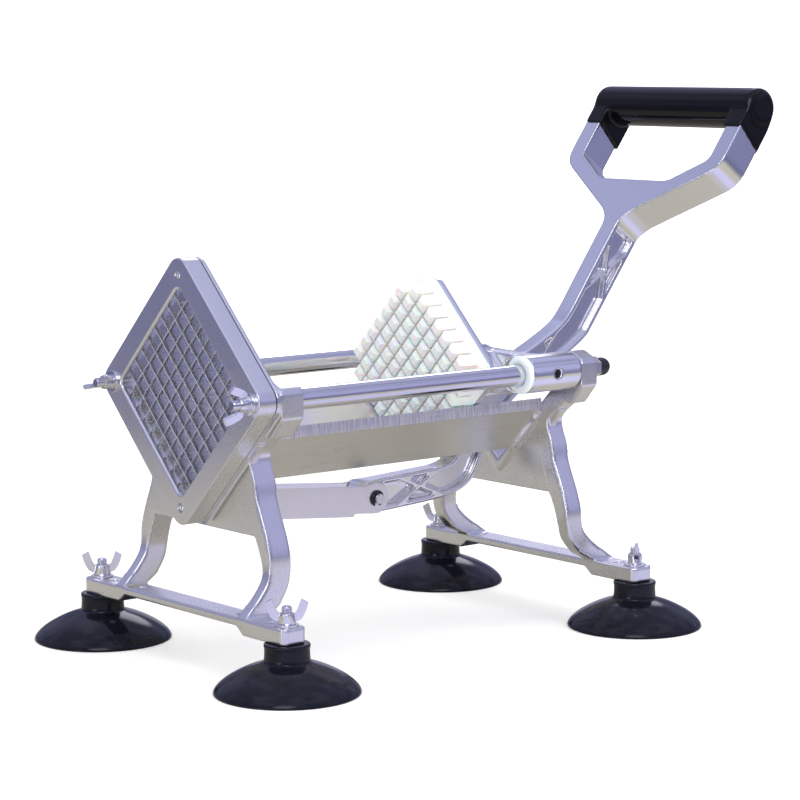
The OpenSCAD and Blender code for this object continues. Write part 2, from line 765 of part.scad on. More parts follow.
// The corners of the plate run back into the sleeves as a smooth neck, which
// stays inside the head's opening as far as the stroke carries it in
module sleeve_neck(s) {
  tip = pusher_side / root2 - 4.5;
  blunt = 3.5;
  rise = 12.8;
  wide = tip + blunt - rise;
  near = max(wide - 9.5, block_screw_x + block_screw_head_r + 0.8);
  foot = [[s * near, head_z - rise], [s * wide, head_z - rise], [s * tip, head_z - blunt],
    [s * tip, head_z + blunt], [s * wide, head_z + rise], [s * near, head_z + rise]];
  across(plate_back - 1, neck_y) polygon(foot);
  hull() {
    across(neck_y - 1, neck_y) polygon(foot);
    translate([s * rod_x, sleeve_front + 1, head_z]) rotate([-90, 0, 0])
      cylinder(d = sleeve_d, h = 14, $fn = 32);
  }
}

module carriage_casting() {
  color(silver) placed() difference() {
    union() {
      across(plate_front, plate_back) diamond(pusher_side, pusher_corner_r);
      for (s = sides) {
        bar_y(s * rod_x, head_z, sleeve_front, sleeve_back - 1, sleeve_d / 2);
        translate([s * rod_x, sleeve_back - 1, head_z]) rotate([-90, 0, 0])
          cylinder(r1 = sleeve_d / 2, r2 = sleeve_d / 2 - 1, h = 1);
        sleeve_neck(s);
        x0 = s > 0 ? lug_in : -rod_x + 8;
        x1 = s > 0 ? rod_x - 8 : -lug_in;
        // cross beam from the lug to the sleeve
        sideways(x0, x1) polygon([[pivot_y - 11, pivot_z - 9], [pivot_y + 11, pivot_z - 9],
          [pivot_y + 11, pivot_z + 9], [pivot_y - 11, pivot_z + 9]]);
        // lug that tapers from the plate to the pivot
        l0 = s > 0 ? lug_in : -lug_in - lug_t;
        bar_x(pivot_y, pivot_z, l0, l0 + lug_t, lug_r);
        sideways(l0, l0 + lug_t) polygon([[plate_back - 1, pivot_z + 34],
          [pivot_y - 4, pivot_z + 12], [pivot_y - 4, pivot_z - 12], [plate_back - 1, pivot_z - 34]]);
      }
    }
    for (s = sides) {
      bar_y(s * rod_x, head_z, plate_back, sleeve_back + 1, bush_r + fit_gap);
      bar_y(s * rod_x, head_z, plate_front - 1, sleeve_front + eps, sleeve_d / 2 + side_gap);
      // drilling for the grub screw that locks the bush, countersunk outside
      translate([s * rod_x, sleeve_back - sleeve_len / 2, head_z]) rotate([0, s * 90, 0]) {
        cylinder(r = 2.6, h = sleeve_d);
        translate([0, 0, sleeve_d / 2 - 0.9]) cylinder(r1 = 2.6, r2 = 4.6, h = 2);
      }
      // screws into the pusher block
      for (a = sides)
        bar_y(s * block_screw_x, head_z + a * block_screw_z, plate_front - 1, plate_back + 1, 2.7);
    }
    bar_x(pivot_y, pivot_z, -lug_in - lug_t - 1, lug_in + lug_t + 1, pivot_d / 2 + fit_gap);
  }
}

module rod_bush(s) {
  color([0.86, 0.93, 0.96]) placed() difference() {
    union() {
      bar_y(s * rod_x, head_z, sleeve_front, sleeve_back - 1, bush_r);
      bar_y(s * rod_x, head_z, sleeve_front - bush_lip, sleeve_front, sleeve_d / 2);
    }
    bar_y(s * rod_x, head_z, sleeve_front - bush_lip - 1, sleeve_back, rod_d / 2 + run_gap);
  }
}
module rod_bush_left() { rod_bush(left); }
module rod_bush_right() { rod_bush(right); }

// Comb outline of the pegs, as distance across the block and along Y
function peg_comb() = concat(
  [for (i = [0 : cells - 1])
    let (a = strip_at(i) + groove_w / 2, b = strip_at(i + 1) - groove_w / 2)
      each [[peg_root, a], [peg_tip + peg_bevel, a], [peg_tip, a + peg_bevel * 0.8],
        [peg_tip, b - peg_bevel * 0.8], [peg_tip + peg_bevel, b], [peg_root, b]]],
  [[peg_root, pusher_side / 2], [plate_front, pusher_side / 2],
    [plate_front, -pusher_side / 2], [peg_root, -pusher_side / 2]]);

// The pegs pass through the grid, so they share its pitch
module pusher_block() {
  reach = pusher_side / 2;
  corner = strip_at(1) - groove_w / 2;
  color(ivory) placed() difference() {
    intersection() {
      translate([0, 0, head_z]) rotate([0, 45, 0]) sideways(-reach, reach) polygon(peg_comb());
      translate([0, 0, head_z]) rotate([0, -45, 0]) sideways(-reach, reach) polygon(peg_comb());
      across(peg_tip - 1, plate_front) diamond(pusher_side, pusher_corner_r);
    }
    // the four corner pegs are left out
    translate([0, 0, head_z]) rotate([0, 45, 0])
      for (a = [0 : 90 : 270]) rotate([0, a, 0])
        translate([-reach - 1, peg_tip - 1, -reach - 1])
          cube([corner + reach + 1 + groove_w, peg_root - peg_tip + 1, corner + reach + 1 + groove_w]);
    for (s = sides, a = sides)
      bar_y(s * block_screw_x, head_z + a * block_screw_z, peg_root + 1.5, plate_front + 1, 2.5);
  }
}

module pusher_screws() {
  color(steel) placed() for (s = sides, a = sides) difference() {
    union() {
      bar_y(s * block_screw_x, head_z + a * block_screw_z, peg_root + 2, plate_back, 2.5);
      bar_y(s * block_screw_x, head_z + a * block_screw_z, plate_back, plate_back + 3.2, block_screw_head_r);
    }
    translate([s * block_screw_x - 5, plate_back + 2, head_z + a * block_screw_z - 0.5]) cube([10, 2, 1]);
  }
}

module pivot_pin() {
  color(steel) placed()
    bar_x(pivot_y, pivot_z, -lug_in - lug_t, lug_in + lug_t, pivot_d / 2);
}

// Grub screws that lock the bushes in the sleeves, below the sleeves' surface
module pivot_set_screw() {
  top = sleeve_d / 2 - 1.15;
  color(steel) placed() for (s = sides)
    translate([s * rod_x, sleeve_back - sleeve_len / 2, head_z]) rotate([0, s * 90, 0]) difference() {
      translate([0, 0, bush_r + 0.2]) cylinder(r = 2.55, h = top - bush_r - 0.2);
      translate([0, 0, top - 1]) cylinder(r = 1.2, h = 2);
    }
}

// ---------------------------------------------------------------- lever

pin_at = [-stroke / 2, -arm_drop];
eye_r = 10;

// Front and back edges of the lever from the handle down to the link pin,
// as Y and Z from the pivot
front_edge = [on_beam(0, 0), [95, 47.4], [80.5, 27.6], [71.5, 19.2], [57, 11.4], [41.6, 4.0]];
arm_front = [[8.3, -16.9], [-1.5, -26], [-8, -40], [-15.1, -55.4], [-20.2, -59.4],
  [-29.2, -61.4], [pin_at[0] + 44, -62], [pin_at[0], pin_at[1] + eye_r]];
back_edge = [on_beam(0, -beam_depth), [116, 38.6], [100, 17], [94, 9.9], [80.3, 1.2], [60, -9],
  [37.4, -21.3], [22, -34], [11, -47], [3.5, -62], [-4, -73], [-17.6, -79.1],
  [pin_at[0] + 44, -81.8], [pin_at[0], pin_at[1] - eye_r]];

// A straight rib between two points of the web
module web_rib(a, b, w) {
  side = w / 2 / norm(b - a) * [a[1] - b[1], b[0] - a[0]];
  polygon([a + side, b + side, b - side, a - side]);
}

// Recesses on both faces that leave the web, the flanges and the crossed ribs
module lever_pockets() {
  upper_front = beside(curve([on_beam(2, 0), for (i = [1 : 4]) front_edge[i]], 3), lever_flange);
  upper_back = beside(curve([on_beam(5, -beam_depth), for (i = [1 : 5]) back_edge[i]], 3), -lever_flange);
  arm_upper = beside(curve(arm_front, 3), lever_flange);
  arm_lower = beside(curve([for (i = [6 : len(back_edge) - 1]) back_edge[i]], 3), -lever_flange);
  difference() {
    union() {
      polygon(concat(upper_front, reversed(upper_back)));
      polygon(concat(arm_upper, reversed(arm_lower)));
    }
    circle(15);
    translate(pin_at) circle(eye_r + 2);
    web_rib(on_beam(-8, -1), on_beam(-50, -beam_depth + 1), lever_rib);
    web_rib(on_beam(-8, -beam_depth + 1), on_beam(-54, -1), lever_rib);
    web_rib([72, 18], [38, -20], lever_rib);
    web_rib([68, -4], [43, 3], lever_rib);
    web_rib([-29, -62.5], [-62, -81], arm_rib);
    web_rib([-62, -64.5], [-27, -78.5], arm_rib);
  }
}

// Half outline of the D-shaped handle frame, as X and distance up the beam
d_outer = concat(curve([[lever_t / 2, -2], [lever_t / 2 + 1.6, 4], [13.9, 10.4]], 4),
  [[38, 25.5]], curve([[61, 39.9], [66.6, 44.6], [69.4, 50.4], [70, 56]], 3));
d_inner = [[57.3, 53.5], [55.5, 49.7], [32, 34.4], [28.5, 33.5], [0, 33.5]];
arm_end_r = 9.4;
core_r = 9;
arm_in = 57.3;
arm_out = 70;

// Turns the handle frame's outline into the beam's plane
module in_handle_plane() {
  translate([0, beam_foot[0], beam_foot[1]]) rotate([beam_angle, 0, 0]) children();
}

// Upper ends of the two arms and the bar that the grip is moulded on
module handle_core(more, s0) {
  in_handle_plane() {
    for (s = sides) {
      x0 = s > 0 ? arm_in - more : -arm_out - more;
      translate([x0, s0, -beam_depth - more])
        cube([arm_out - arm_in + 2 * more, grip_s - 8 - s0 + more, beam_depth + 2 * more]);
      translate([x0, grip_s, grip_n]) rotate([0, 90, 0])
        cylinder(r = arm_end_r + more, h = arm_out - arm_in + 2 * more);
    }
    translate([-arm_in - 1, grip_s, grip_n]) rotate([0, 90, 0])
      cylinder(r = core_r + more, h = 2 * arm_in + 2);
  }
}

module lever() {
  pocket = (lever_t - lever_web_t) / 2;
  half = lever_t / 2;
  color(silver) placed() translate([0, pivot_y, pivot_z]) difference() {
    union() {
      difference() {
        sideways(-half, half) polygon(concat(
          curve(front_edge, 3), [[4.5, 11.2], [-9, -8]], curve(arm_front, 3), reversed(curve(back_edge, 3))));
        sideways(half - pocket, half + 1) lever_pockets();
        sideways(-half - 1, -half + pocket) lever_pockets();
      }
      bar_x(0, 0, -half, half, 12);
      bar_x(pin_at[0], pin_at[1], -half - eye_proud, half + eye_proud, eye_r);
      in_handle_plane() translate([0, 0, -beam_depth]) linear_extrude(beam_depth) polygon(concat(
        [[0, -2]], d_outer, [[arm_out, grip_s - 20], [arm_in, grip_s - 20]], d_inner));
      in_handle_plane() translate([0, 0, -beam_depth]) linear_extrude(beam_depth) mirror([1, 0]) polygon(concat(
        [[0, -2]], d_outer, [[arm_out, grip_s - 20], [arm_in, grip_s - 20]], d_inner));
      handle_core(0, grip_s - 21);
    }
    bar_x(0, 0, -half - 1, half + 1, pivot_d / 2 + run_gap);
    bar_x(pin_at[0], pin_at[1], -link_w, link_w, link_pin_d / 2 + run_gap);
  }
}

// Gloss grip moulded over the bar and the upper ends of the arms
module grip() {
  cover = 1.9;
  skin = 1.3;
  round = 5;
  r = grip_d / 2;
  half = arm_out + cover;
  color(gloss_black) placed() translate([0, pivot_y, pivot_z]) difference() {
    in_handle_plane() {
      translate([0, grip_s, grip_n]) rotate([0, 90, 0]) rotate_extrude() polygon(concat(
        [[0, -half]], [for (a = [0 : 15 : 90]) [r - round + round * sin(a), -half + round - round * cos(a)]],
        [for (a = [90 : -15 : 0]) [r - round + round * sin(a), half - round + round * cos(a)]], [[0, half]]));
      for (s = sides) {
        x0 = s > 0 ? arm_in - cover : -half + 1;
        translate([x0, 0, 0]) rotate([90, 0, 90]) linear_extrude(half - 1 - arm_in + cover)
          polygon([[grip_s - 20.4, skin], [grip_s, skin], [grip_s, -beam_depth],
            [grip_s - 8, -beam_depth - skin], [grip_s - 26, -beam_depth - skin]]);
      }
    }
    handle_core(fit_gap, 0);
  }
}

// ---------------------------------------------------------------- link

// Draws in the link's own plane: X runs from the link pin to the anchor, Y is up
module in_link_plane(x0, x1) {
  sideways(x0, x1) translate([link_y, link_z]) mirror([1, 0]) rotate(link_angle) children();
}

link_top = 7;
link_low = 11.2;
link_end_r = 9.2;
hook_gap = 0.3;
hook_flare = 22;

// Side plate of the link with its round end and its open hook
module link_cheek() {
  hook_r = link_pin_d / 2 + hook_gap;
  spread = (link_top + 3) * tan(hook_flare);
  difference() {
    union() {
      circle(link_end_r);
      polygon([[0, link_end_r], [9, link_top], [link_len - 2, link_top], [link_len + 6.8, link_top - 2],
        [link_len + 8.6, -2], [link_len + 6, -7.6], [link_len - 2, -link_low], [17, -link_low],
        [15.5, -link_end_r], [0, -link_end_r]]);
    }
    translate([link_len, 0]) circle(hook_r);
    polygon([[link_len - hook_r, 0], [link_len + hook_r, 0],
      [link_len + hook_r + spread, link_top + 3], [link_len - hook_r - spread, link_top + 3]]);
  }
}

module link() {
  half = link_w / 2;
  color(silver) placed() difference() {
    union() {
      in_link_plane(half - link_t, half) link_cheek();
      in_link_plane(-half, -half + link_t) link_cheek();
      in_link_plane(-half, half) translate([21, link_top - link_t])
        square([link_len - 21 - 9.5, link_t]);
    }
    bar_x(link_y, link_z, -link_w, link_w, link_pin_d / 2 + fit_gap);
  }
}

module link_pin() {
  color(steel) placed() difference() {
    link_pin_shape(link_y, link_z, link_pin_reach);
    clip_grooves(link_y, link_z, link_w / 2);
  }
}
module link_clips() {
  color(gloss_black) placed() clips(link_y, link_z, link_w / 2);
}

// ---------------------------------------------------------------- assembly

front_casting();
rear_casting();
trough();
trough_welds();
guide_rod_left();
guide_rod_right();
rod_cap_nuts();
rod_washers();
blade_holder();
blades_rising();
blades_falling();
holder_screws();
head_washers();
anchor_pin();
anchor_clips();
suction_cup_front_left();
suction_cup_front_right();
suction_cup_rear_left();
suction_cup_rear_right();
cup_studs();
foot_washers();
carriage_casting();
rod_bush_left();
rod_bush_right();
pusher_block();
pusher_screws();
pivot_pin();
pivot_set_screw();
lever();
grip();
link();
link_pin();
link_clips();
wing_nut_head_left();
wing_nut_head_right();
wing_nut_front_left();
wing_nut_front_right();
wing_nut_rear_left();
wing_nut_rear_right();
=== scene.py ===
from math import cos, pi, radians, sin, sqrt

import bmesh
import bpy
from mathutils import Matrix, Vector


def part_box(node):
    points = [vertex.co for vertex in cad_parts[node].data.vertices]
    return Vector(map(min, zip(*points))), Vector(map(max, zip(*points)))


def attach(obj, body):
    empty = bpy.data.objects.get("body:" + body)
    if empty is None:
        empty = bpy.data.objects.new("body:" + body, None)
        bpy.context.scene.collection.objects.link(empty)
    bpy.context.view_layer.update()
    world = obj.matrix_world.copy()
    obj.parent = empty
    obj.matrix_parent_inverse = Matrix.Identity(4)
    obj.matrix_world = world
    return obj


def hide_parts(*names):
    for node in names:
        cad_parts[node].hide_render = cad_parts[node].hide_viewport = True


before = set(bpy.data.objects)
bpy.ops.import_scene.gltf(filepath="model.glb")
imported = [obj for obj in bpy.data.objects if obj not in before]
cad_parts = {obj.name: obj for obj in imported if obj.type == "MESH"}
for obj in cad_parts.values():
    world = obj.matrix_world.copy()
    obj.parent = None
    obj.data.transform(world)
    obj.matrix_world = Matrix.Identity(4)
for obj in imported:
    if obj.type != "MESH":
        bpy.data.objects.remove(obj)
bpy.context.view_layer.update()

# ---------------------------------------------------------------- studio
# The cutter stands on a plain pale floor that curves up into a low wall all
# round it. It is looked at from the front right, a little from above.

mm = 0.001
aim = Vector((12.6, -38.65, 142.0)) * mm
camera_azimuth = radians(50.254)
camera_elevation = radians(7.483)
camera_roll = radians(-0.156)
camera_distance = 1.593
nearest_seen = 0.05
frame_pixels = 800
focal_pixels = 2652

away = Vector((
    sin(camera_azimuth) * cos(camera_elevation),
    -cos(camera_azimuth) * cos(camera_elevation),
    sin(camera_elevation)))
across = Vector((cos(camera_azimuth), sin(camera_azimuth), 0))
upright = away.cross(across)
turned = Matrix((across, upright, away)).transposed() @ Matrix.Rotation(camera_roll, 3, "Z")
camera_data = bpy.data.cameras.new("camera")
camera_data.lens = focal_pixels / frame_pixels * camera_data.sensor_width
camera_data.clip_start = nearest_seen
camera = bpy.data.objects.new("camera", camera_data)
camera.matrix_world = Matrix.Translation(aim + away * camera_distance) @ turned.to_4x4()
bpy.context.scene.collection.objects.link(camera)
bpy.context.scene.camera = camera
bpy.context.scene.view_settings.view_transform = "Standard"


class Wire:
    """An output of a shader node that can be used in sums like a number."""

    def __init__(self, tree, out=None):
        self.tree = tree
        self.out = out

    def node(self, kind, settings=None, inputs=None, out=0):
        """Adds a node: its settings first, then the values or wires of its sockets."""
        made = self.tree.nodes.new("ShaderNode" + kind)
        for name, value in (settings or {}).items():
            if name == "stops":
                ramp = made.color_ramp.elements
                while len(ramp) < len(value):
                    ramp.new(1)
                for stop, (position, colour) in zip(ramp, value):
                    stop.position = position
                    stop.color = colour
            else:
                setattr(made, name, value)
        self.feed(made, inputs or {})
        return Wire(self.tree, made.outputs[out])

    def feed(self, made, inputs):
        """Sets sockets of a node to values, or links wires to them."""
        for key, value in inputs.items():
            if isinstance(value, Wire):
                self.tree.links.new(value.out, made.inputs[key])
            else:
                made.inputs[key].default_value = value

    def math(self, operation, a, b):
        return self.node("Math", {"operation": operation}, {0: a, 1: b})

    def __add__(self, other):
        return self.math("ADD", self, other)

    def __sub__(self, other):
        return self.math("SUBTRACT", self, other)

    def __rsub__(self, other):
        return self.math("SUBTRACT", other, self)

    def __mul__(self, other):
        return self.math("MULTIPLY", self, other)

    def __gt__(self, other):
        return self.math("GREATER_THAN", self, other)

    def __lt__(self, other):
        return self.math("LESS_THAN", self, other)

    __radd__ = __add__
    __rmul__ = __mul__

    def blend(self, a, b):
        """Colour a where this wire is 0 and colour b where it is 1."""
        return self.node("Mix", {"data_type": "RGBA"}, {0: self, 6: a, 7: b}, out=2)

    def rise(self, low, high):
        """A smooth step from 0 where this wire is low to 1 where it is high."""
        return self.node("MapRange", {"interpolation_type": "SMOOTHSTEP"},
                         {"Value": self, "From Min": low, "From Max": high})


def rgb(red, green, blue):
    return (red, green, blue, 1)


def coordinate(place, axis):
    """How far a place lies along the X, Y or Z axis, in metres."""
    return place.node("SeparateXYZ", {}, {0: place}, out=axis)


def mottle(place, scale, detail):
    """Soft blotches, about so many to a metre."""
    return place.node("TexNoise", {}, {"Vector": place, "Scale": scale, "Detail": detail})


def spun(profile, axis, steps, unit=mm):
    """A shape turned about an axis from pairs of radius and place along the axis."""
    work = bmesh.new()
    points = [work.verts.new((Vector((r, 0, 0)) + place * Vector(axis)) * unit) for r, place in profile]
    edges = [work.edges.new(pair) for pair in zip(points, points[1:])]
    bmesh.ops.spin(work, geom=points + edges, cent=(0, 0, 0), axis=axis, angle=2 * pi,
                   steps=steps, use_merge=True)
    bmesh.ops.remove_doubles(work, verts=work.verts, dist=2e-6)
    bmesh.ops.recalc_face_normals(work, faces=work.faces)
    return work


# The room is cool: dim along the horizon and brighter towards the ceiling, with
# bright panes behind and in front. Towards the floor it is warm, lit by the bench
room_tones = [
    (0.42, rgb(0.185, 0.195, 0.37)),
    (0.565, rgb(0.27, 0.28, 0.50)),
    (0.745, rgb(0.40, 0.42, 0.64)),
    (0.84, rgb(0.44, 0.46, 0.76)),
    (0.88, rgb(0.62, 0.65, 0.98)),
    (0.97, rgb(0.75, 0.78, 1.05))]
room_below = rgb(0.44, 0.42, 0.38)
room_plain = rgb(0.80, 0.80, 0.83)
room_dark = rgb(0.05, 0.05, 0.12)
clutter_scale = 3.4
clutter_share = 0.5

# Each pane has its direction, its radius in degrees and its colour
window_pane = rgb(3.0, 3.0, 3.4)
haze_behind = rgb(0.60, 0.60, 0.84)
haze_beside = rgb(0.46, 0.46, 0.78)
panes = (
    (Vector((-0.76, 0.63, 0.13)), 10, haze_behind),
    (Vector((0.69, 0.63, 0.33)), 13, haze_beside),
    (Vector((-0.54, 0.63, 0.55)), 9, window_pane),
    (Vector((0.60, -0.55, 0.58)), 15, window_pane),
    (Vector((0.20, -0.97, -0.04)), 11, window_pane))
pane_edge = 2
world = bpy.data.worlds.new("room")
bpy.context.scene.world = world
world.use_nodes = True
room = Wire(world.node_tree)
direction = room.node("TexCoord", out="Generated")
height = coordinate(direction, "Z")
walls = room.node("ValToRGB", {"stops": room_tones}, {0: height * 0.5 + 0.5})
clutter = mottle(direction, clutter_scale, 1)
lit = (clutter.rise(0.42, 0.62) * clutter_share).blend(walls, room_dark)
for toward, spread, glow in panes:
    facing = direction.node("VectorMath", {"operation": "DOT_PRODUCT"},
                            {0: direction, 1: toward.normalized()}, out="Value")
    outside = cos(radians(spread + pane_edge))
    inside = cos(radians(spread - pane_edge))
    lit = facing.rise(outside, inside).blend(lit, glow)
seen_mirrored = (-1 * height).rise(0.16, 0.34).blend(lit, room_below)
mirror_ray = room.node("LightPath", out="Is Glossy Ray")
room.feed(world.node_tree.nodes["Background"], {
    "Color": mirror_ray.blend(room_plain, seen_mirrored),
    "Strength": 1.0})

floor_radius = 4.0
wall_height = 1.1
sweep_radius = 0.8
sweep_start = floor_radius - sweep_radius
outline = [(0, 0), (0.6, 0), (sweep_start, 0)]
outline += [(sweep_start + sweep_radius * sin(a), sweep_radius * (1 - cos(a)))
            for a in (radians(15 * k) for k in range(1, 7))]
outline += [(floor_radius, wall_height)]
work = spun(outline, (0, 0, 1), steps=96, unit=1)
floor_mesh = bpy.data.meshes.new("floor")
work.to_mesh(floor_mesh)
work.free()
floor_mesh.shade_smooth()
floor = bpy.data.objects.new("floor", floor_mesh)
bpy.context.scene.collection.objects.link(floor)

# The floor is white to the eye and to other light. Where it is mirrored it is
# dimmer: warm under the cutter and cool beside its legs. Beyond mirror_reach only
# the eye sees it, and metal mirrors the room
floor_white = rgb(0.82, 0.82, 0.82)
floor_warm = rgb(0.42, 0.405, 0.365)
floor_cool = rgb(0.50, 0.50, 0.72)
glow_near = rgb(0.24, 0.24, 0.24)
glow_far = rgb(0.9, 0.9, 0.9)
mirror_reach = (0.75, 1.15)
paper = bpy.data.materials.new("studio_paper")
paper.use_nodes = True
sheet = Wire(paper.node_tree)
seen = sheet.node("LightPath", out="Is Camera Ray")
mirrored = sheet.node("LightPath", out="Is Glossy Ray")
place = sheet.node("TexCoord", out="Object")
reach = sheet.node("VectorMath", {"operation": "LENGTH"}, {0: place}, out="Value")
rightward = coordinate(place, "X")
by_legs = rightward.rise(0.10, 0.16) * (1 - rightward.rise(0.30, 0.40))
lift = reach.rise(0.5, 2.2).blend(glow_near, glow_far)
paper_shader = paper.node_tree.nodes["Principled BSDF"]
sheet.feed(paper_shader, {
    "Base Color": mirrored.blend(floor_white, by_legs.blend(floor_warm, floor_cool)),
    "Roughness": 0.9,
    "Specular IOR Level": 0.0,
    "Emission Color": seen.blend(rgb(0, 0, 0), lift),
    "Emission Strength": 1.0})
unseen = (1 - seen) * reach.rise(*mirror_reach)
clear = sheet.node("BsdfTransparent")
opaque = Wire(sheet.tree, paper_shader.outputs[0])
joined = sheet.node("MixShader", {}, {0: unseen, 1: opaque, 2: clear})
sheet.feed(paper.node_tree.nodes["Material Output"], {0: joined})
floor_mesh.materials.append(paper)


def lamp(name, place, size, power, colour):
    """A soft square lamp that shines on the cutter and that metal doesn't mirror."""
    data = bpy.data.lights.new(name, "AREA")
    data.shape = "SQUARE"
    data.size = size
    data.energy = power
    data.color = colour
    light = bpy.data.objects.new(name, data)
    light.location = place
    light.rotation_euler = (aim - light.location).to_track_quat("-Z", "Y").to_euler()
    light.visible_glossy = False
    bpy.context.scene.collection.objects.link(light)


lamp("window", place=Vector((1.3, 1.2, 2.1)), size=1.6, power=26, colour=(1, 0.97, 0.93))
lamp("overhead", place=Vector((-0.4, -0.3, 2.4)), size=1.4, power=16, colour=(1, 0.98, 0.95))
lamp("front_fill", place=Vector((1.7, -1.4, 0.9)), size=1.2, power=14, colour=(1, 0.98, 0.95))

# ---------------------------------------------------------------- castings
# Front and rear end castings with their legs and foot bars: sand-cast
# aluminium, tumbled until all edges are round, then bright-dipped to a satin.


def finish(name):
    """A new material, its shader, and the place on the piece as a wire."""
    material = bpy.data.materials.new(name)
    material.use_nodes = True
    tree = material.node_tree
    return material, tree.nodes["Principled BSDF"], Wire(tree).node("TexCoord", out="Object")


def dented(height, strength, depth):
    """The slope of a surface that is uneven by a depth in millimetres."""
    return height.node("Bump", {}, {"Strength": strength, "Distance": depth * mm, "Height": height},
                       out="Normal")


def copied(node_name):
    """A merged copy of a frame piece's mesh, with its flat faces made whole."""
    work = bmesh.new()
    work.from_mesh(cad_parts[node_name].data)
    bmesh.ops.remove_doubles(work, verts=work.verts, dist=2e-6)
    bmesh.ops.dissolve_limit(work, angle_limit=radians(0.5), verts=work.verts, edges=work.edges)
    return work


def wear(work, verts, passes):
    """Draws the edges among some vertices in, a little at each pass."""
    for _ in range(passes):
        bmesh.ops.smooth_vert(work, verts=verts, factor=0.5,
                              use_axis_x=True, use_axis_y=True, use_axis_z=True)


def tumbled(node_name, voxel, passes):
    """A closed copy of a frame piece whose edges are worn round."""
    work = copied(node_name)
    data = bpy.data.meshes.new("rough")
    work.to_mesh(data)
    work.free()
    rough = bpy.data.objects.new("rough", data)
    bpy.context.scene.collection.objects.link(rough)
    skin = rough.modifiers.new("skin", "REMESH")
    skin.mode = "VOXEL"
    skin.voxel_size = voxel * mm
    closed = rough.evaluated_get(bpy.context.evaluated_depsgraph_get())
    worn = bpy.data.meshes.new_from_object(closed)
    bpy.data.objects.remove(rough)
    work = bmesh.new()
    work.from_mesh(worn)
    wear(work, work.verts, passes)
    return work


def made(name, work, body, slot, material, *stands_for):
    """Turns a worked mesh into a smooth-shaded piece that rides on a body."""
    data = bpy.data.meshes.new(name)
    work.to_mesh(data)
    work.free()
    data.materials.append(material)
    data.shade_smooth()
    piece = bpy.data.objects.new(name, data)
    bpy.context.scene.collection.objects.link(piece)
    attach(piece, body)
    if stands_for:
        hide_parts(*stands_for)
    return piece


def thin(piece, share):
    """Keeps a share of a fine mesh's triangles, fewest where it is flat."""
    fewer = piece.modifiers.new("thinned", "DECIMATE")
    fewer.ratio = share


cast_dark = rgb(0.80, 0.80, 0.80)
cast_light = rgb(0.90, 0.89, 0.88)
cast_metal, shader, place = finish("cast_aluminium")
cloud = mottle(place, 38, 4)
grain = mottle(place, 1300, 2)
dimple = mottle(place, 260, 3)
place.feed(shader, {
    "Metallic": 1.0,
    "Base Color": cloud.blend(cast_dark, cast_light),
    "Roughness": 0.2 + cloud * 0.1 + grain * 0.06,
    "Normal": dented(grain * 0.5 + dimple, strength=0.06, depth=0.06)})

# The legs' edges are rounder than the rest
leg_low = 44 * mm
leg_high = 104 * mm
leg_inside = 48 * mm
leg_passes = 12
for end in ("front", "rear"):
    work = tumbled(end + "_casting", voxel=0.7, passes=4)
    legs = [v for v in work.verts if leg_low < v.co.z < leg_high and abs(v.co.x) > leg_inside]
    wear(work, legs, leg_passes)
    casting = made(end + "_end", work, "root", "cast_aluminium", cast_metal, end + "_casting")
    thin(casting, share=0.8)

# ---------------------------------------------------------------- bed
# Two plates of rolled aluminium in a V, with the lever's slot between them,
# sawn along their rims and welded to the castings at both ends.


def brushed(place, fineness, detail):
    """Streaks drawn out along the axis that has the least fineness."""
    drawn = place.node("Mapping", {}, {"Vector": place, "Scale": fineness})
    return mottle(drawn, 1, detail)


def ease(piece, width, segments=2, angle=28):
    """Rounds off a piece's edges and keeps its flat faces flat to the light."""
    bevel = piece.modifiers.new("eased_edges", "BEVEL")
    bevel.width = width * mm
    bevel.segments = segments
    bevel.limit_method = "ANGLE"
    bevel.angle_limit = radians(angle)
    bevel.miter_outer = "MITER_ARC"
    bevel.use_clamp_overlap = True
    flat = piece.modifiers.new("flat_faces", "WEIGHTED_NORMAL")
    flat.weight = 80
    flat.keep_sharp = False


plate_dark = rgb(0.88, 0.87, 0.82)
plate_light = rgb(0.97, 0.95, 0.91)
saw_mark = rgb(0.40, 0.40, 0.52)
rim_x = 41.03 * mm
rim_width = 0.6 * mm
bed_metal, shader, place = finish("bed_plate")
sideways = coordinate(place, "X")
aside = sideways.node("Math", {"operation": "ABSOLUTE"}, {0: sideways})
sawn = aside > rim_x - rim_width
lines = brushed(place, (900, 12, 900), 3)
strokes = brushed(place, (200, 1400, 60), 3)
haze = mottle(place, 22, 3)
place.feed(shader, {
    "Metallic": 1.0,
    "Base Color": (sawn * strokes.rise(0.42, 0.6) * 0.5).blend(haze.blend(plate_dark, plate_light), saw_mark),
    "Roughness": 0.24 + lines * 0.1 + sawn * strokes * 0.25,
    "Normal": dented(lines * 0.3 + sawn * strokes * 1.6, strength=0.4, depth=0.1)})
bed = made("bed_plates", copied("trough"), "root", "bed_plate", bed_metal, "trough")
ease(bed, width=0.25)

# ---------------------------------------------------------------- welds
# Four pairs of aluminium weld beads, laid by hand in the corners between the
# bed plates and the castings, with one ripple for each drop of metal.

weld_dark = rgb(0.66, 0.65, 0.63)
weld_light = rgb(0.95, 0.94, 0.93)
weld_metal, shader, place = finish("weld_metal")
heat = mottle(place, 320, 3)
place.feed(shader, {
    "Metallic": 1.0,
    "Base Color": heat.blend(weld_dark, weld_light),
    "Roughness": 0.16 + heat * 0.22,
    "Normal": dented(heat, strength=0.5, depth=0.2)})

